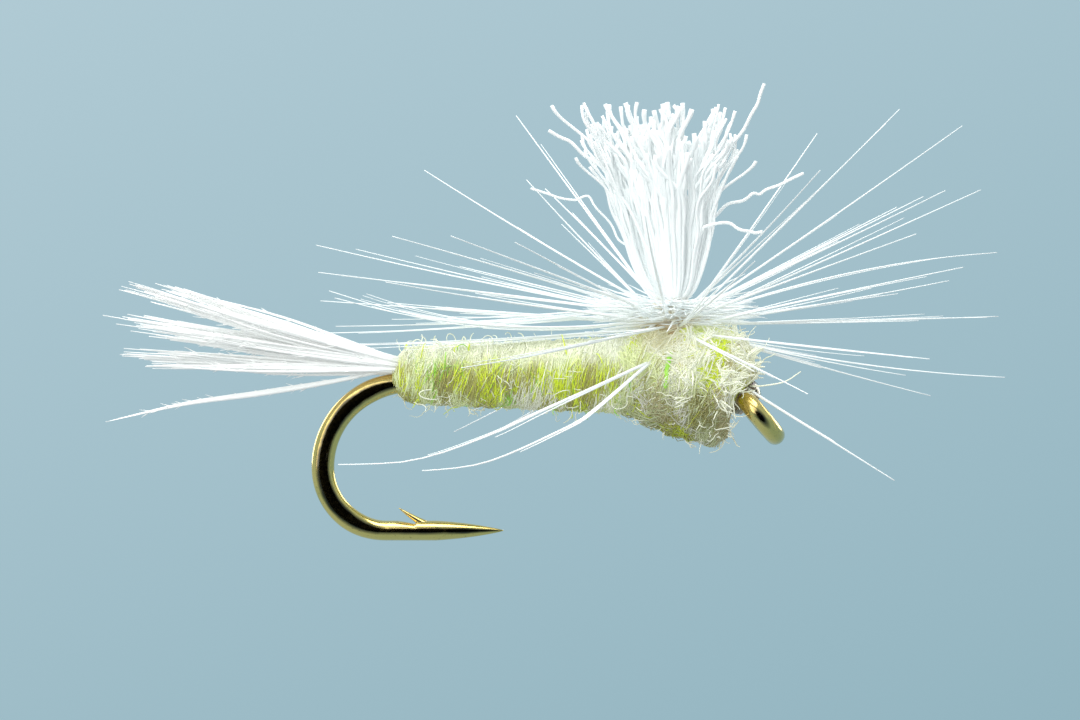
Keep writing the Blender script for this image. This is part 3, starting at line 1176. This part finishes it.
def makeTailStray():
    # the one fibre that hangs below the rest, as three strands with short barbules
    s = tail
    rng = np.random.default_rng(98)
    steps = 26
    line = evenPath(middleLines("tail_stray", tailRoot)[0], steps)
    t = np.linspace(0, 1, steps)
    size = (0.03 + 0.05 * np.sin(math.pi * np.clip(t * 1.15, 0, 1)) ** 1.2) * (1 - t) ** 0.35 + 0.006
    solids = []
    for share, shift in ((1, (0, 0, 0)), (0.8, (0, 0.05, 0.03)), (0.8, (0, -0.05, -0.02))):
        path = line + np.array(shift) * mm * np.sin(math.pi * t)[:, None]
        solids.append(tube(path, size * mm * share, s["white"], sides=6, flat=0.7))
    many = s["strayBarbules"]
    picks = rng.integers(2, steps - 4, many)
    forward = unit(line[picks + 1] - line[picks])
    away = unit(rng.normal(0, 1, (many, 3)) * [0.2, 1, 1])
    hairs = kinkedStrays(rng, line[picks], unit(forward + 0.4 * away), s["strayBarbuleLength"],
                         steps=5, kink=0.05)
    solids.append(tube(hairs, tapered(many, 5, 0.009, rng, tip=0.3), s["white"], sides=3))
    piece = makePiece("tail_low_fibre", solids, tailFibre, "tail_fibre", "tail_stray")
    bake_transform(piece)


makeTailClump("tail_upper_fibres", "tail_upper", *tail["upper"], 31)
makeTailClump("tail_middle_fibres", "tail_middle", *tail["middle"], 32)
makeTailClump("tail_lower_fibres", "tail_lower", *tail["lower"], 33)
makeTailStray()
print("tail made")


# studio

studio = {"domeRadius": 0.9, "domeGlow": 1.0, "floorShare": 0.9, "floorDepth": 0.35, "floorGlow": 0.95,
          "paperLow": (0.285, 0.452, 0.520), "paperHigh": (0.440, 0.597, 0.665),
          "flagRadius": 0.12, "flagAngle": 27, "sky": (0.93, 0.98, 1.0), "skyGlow": 0.52,
          "sensor": 36.0, "lens": 267.0, "fieldWidth": 21.6, "centre": (-4.39, 0.0, 1.13)}

# name, place and size in metres, power, and colour
lights = [("top_softbox", (-0.03, -0.06, 0.26), (0.26, 0.22), 0.72, (1.0, 0.99, 0.96)),
          ("back_left", (-0.24, 0.20, 0.10), (0.16, 0.2), 0.30, (1, 1, 1)),
          ("back_right", (0.24, 0.20, 0.12), (0.16, 0.2), 0.30, (1, 1, 1)),
          ("front_fill", (-0.12, -0.26, 0.10), (0.22, 0.22), 0.45, (1.0, 0.99, 0.96))]


def paperMaterial(name, strength):
    # pale blue-grey paper, a little lighter towards the upper left
    s = studio
    material, tree, shader = newMaterial(name)
    tree.nodes.remove(shader)
    coord = addNode(tree, "ShaderNodeTexCoord").outputs["Object"]
    place = addNode(tree, "ShaderNodeSeparateXYZ", {0: coord})
    rise = addMath(tree, "MULTIPLY", place.outputs["Z"], 9.0)
    left = addMath(tree, "MULTIPLY", place.outputs["X"], -3.2)
    fade = remap(tree, addMath(tree, "ADD", rise, left), -0.75, 0.75, 0.0, 1.0)
    colour = mixColour(tree, fade, (*s["paperLow"], 1), (*s["paperHigh"], 1))
    glow = addNode(tree, "ShaderNodeEmission", {"Color": colour, "Strength": strength})
    tree.links.new(glow.outputs[0], tree.nodes["Material Output"].inputs["Surface"])
    return material


def makeDarkFlag():
    # a dark cap on the camera's side, that only the polished wire can see
    s = studio
    bpy.ops.mesh.primitive_uv_sphere_add(segments=48, ring_count=24, radius=s["flagRadius"])
    flag = bpy.context.object
    flag.name = "dark_flag"
    edge = -s["flagRadius"] * math.cos(math.radians(s["flagAngle"]))
    shape = bmesh.new()
    shape.from_mesh(flag.data)
    bmesh.ops.delete(shape, geom=[v for v in shape.verts if v.co.y > edge], context="VERTS")
    shape.to_mesh(flag.data)
    shape.free()
    cloth, _, shader = newMaterial("flagCloth")
    shader.inputs["Base Color"].default_value = (0.004, 0.004, 0.004, 1)
    shader.inputs["Roughness"].default_value = 1.0
    shader.inputs["Specular IOR Level"].default_value = 0.0
    flag.data.materials.append(cloth)
    for ray in ("camera", "diffuse", "transmission", "volume_scatter", "shadow"):
        setattr(flag, "visible_" + ray, False)


def makeStudio():
    s = studio
    bpy.ops.mesh.primitive_uv_sphere_add(segments=96, ring_count=48, radius=s["domeRadius"])
    dome = bpy.context.object
    dome.name = "paper_dome"
    dome.data.materials.append(paperMaterial("paper", s["domeGlow"]))
    dome.data.shade_smooth()
    bpy.ops.mesh.primitive_circle_add(vertices=96, radius=s["domeRadius"] * s["floorShare"],
                                      fill_type="NGON", location=(0, 0, -s["floorDepth"]))
    floor = bpy.context.object
    floor.name = "paper_floor"
    floor.data.materials.append(paperMaterial("floorPaper", s["floorGlow"]))
    for paper in (dome, floor):
        paper.visible_shadow = False
        paper.visible_diffuse = False


def addLight(name, place, size, power, colour):
    # a soft rectangle of light that faces the hook's eye
    light = bpy.data.lights.new(name, "AREA")
    light.shape = "RECTANGLE"
    light.size, light.size_y = size
    light.energy = power
    light.color = colour
    lamp = bpy.data.objects.new(name, light)
    bpy.context.scene.collection.objects.link(lamp)
    lamp.location = place
    lamp.rotation_mode = "QUATERNION"
    lamp.rotation_quaternion = (-lamp.location).to_track_quat("-Z", "Y")
    lamp.visible_camera = False


def makeSky():
    sky = bpy.context.scene.world or bpy.data.worlds.new("sky")
    bpy.context.scene.world = sky
    sky.use_nodes = True
    background = sky.node_tree.nodes["Background"]
    background.inputs["Color"].default_value = (*studio["sky"], 1)
    background.inputs["Strength"].default_value = studio["skyGlow"]


def makeCamera():
    s = studio
    data = bpy.data.cameras.new("lens")
    data.lens = s["lens"]
    data.sensor_width = s["sensor"]
    data.clip_start = 0.01
    data.clip_end = 10.0
    camera = bpy.data.objects.new("camera", data)
    bpy.context.scene.collection.objects.link(camera)
    far = s["fieldWidth"] * mm * s["lens"] / s["sensor"]
    camera.location = (s["centre"][0] * mm, -far, s["centre"][2] * mm)
    camera.rotation_euler = (math.radians(90), 0, 0)
    bpy.context.scene.camera = camera


makeStudio()
makeDarkFlag()
for row in lights:
    addLight(*row)
makeSky()
makeCamera()
view = bpy.context.scene.view_settings
view.view_transform = "Standard"
view.look = "None"
print("studio made")
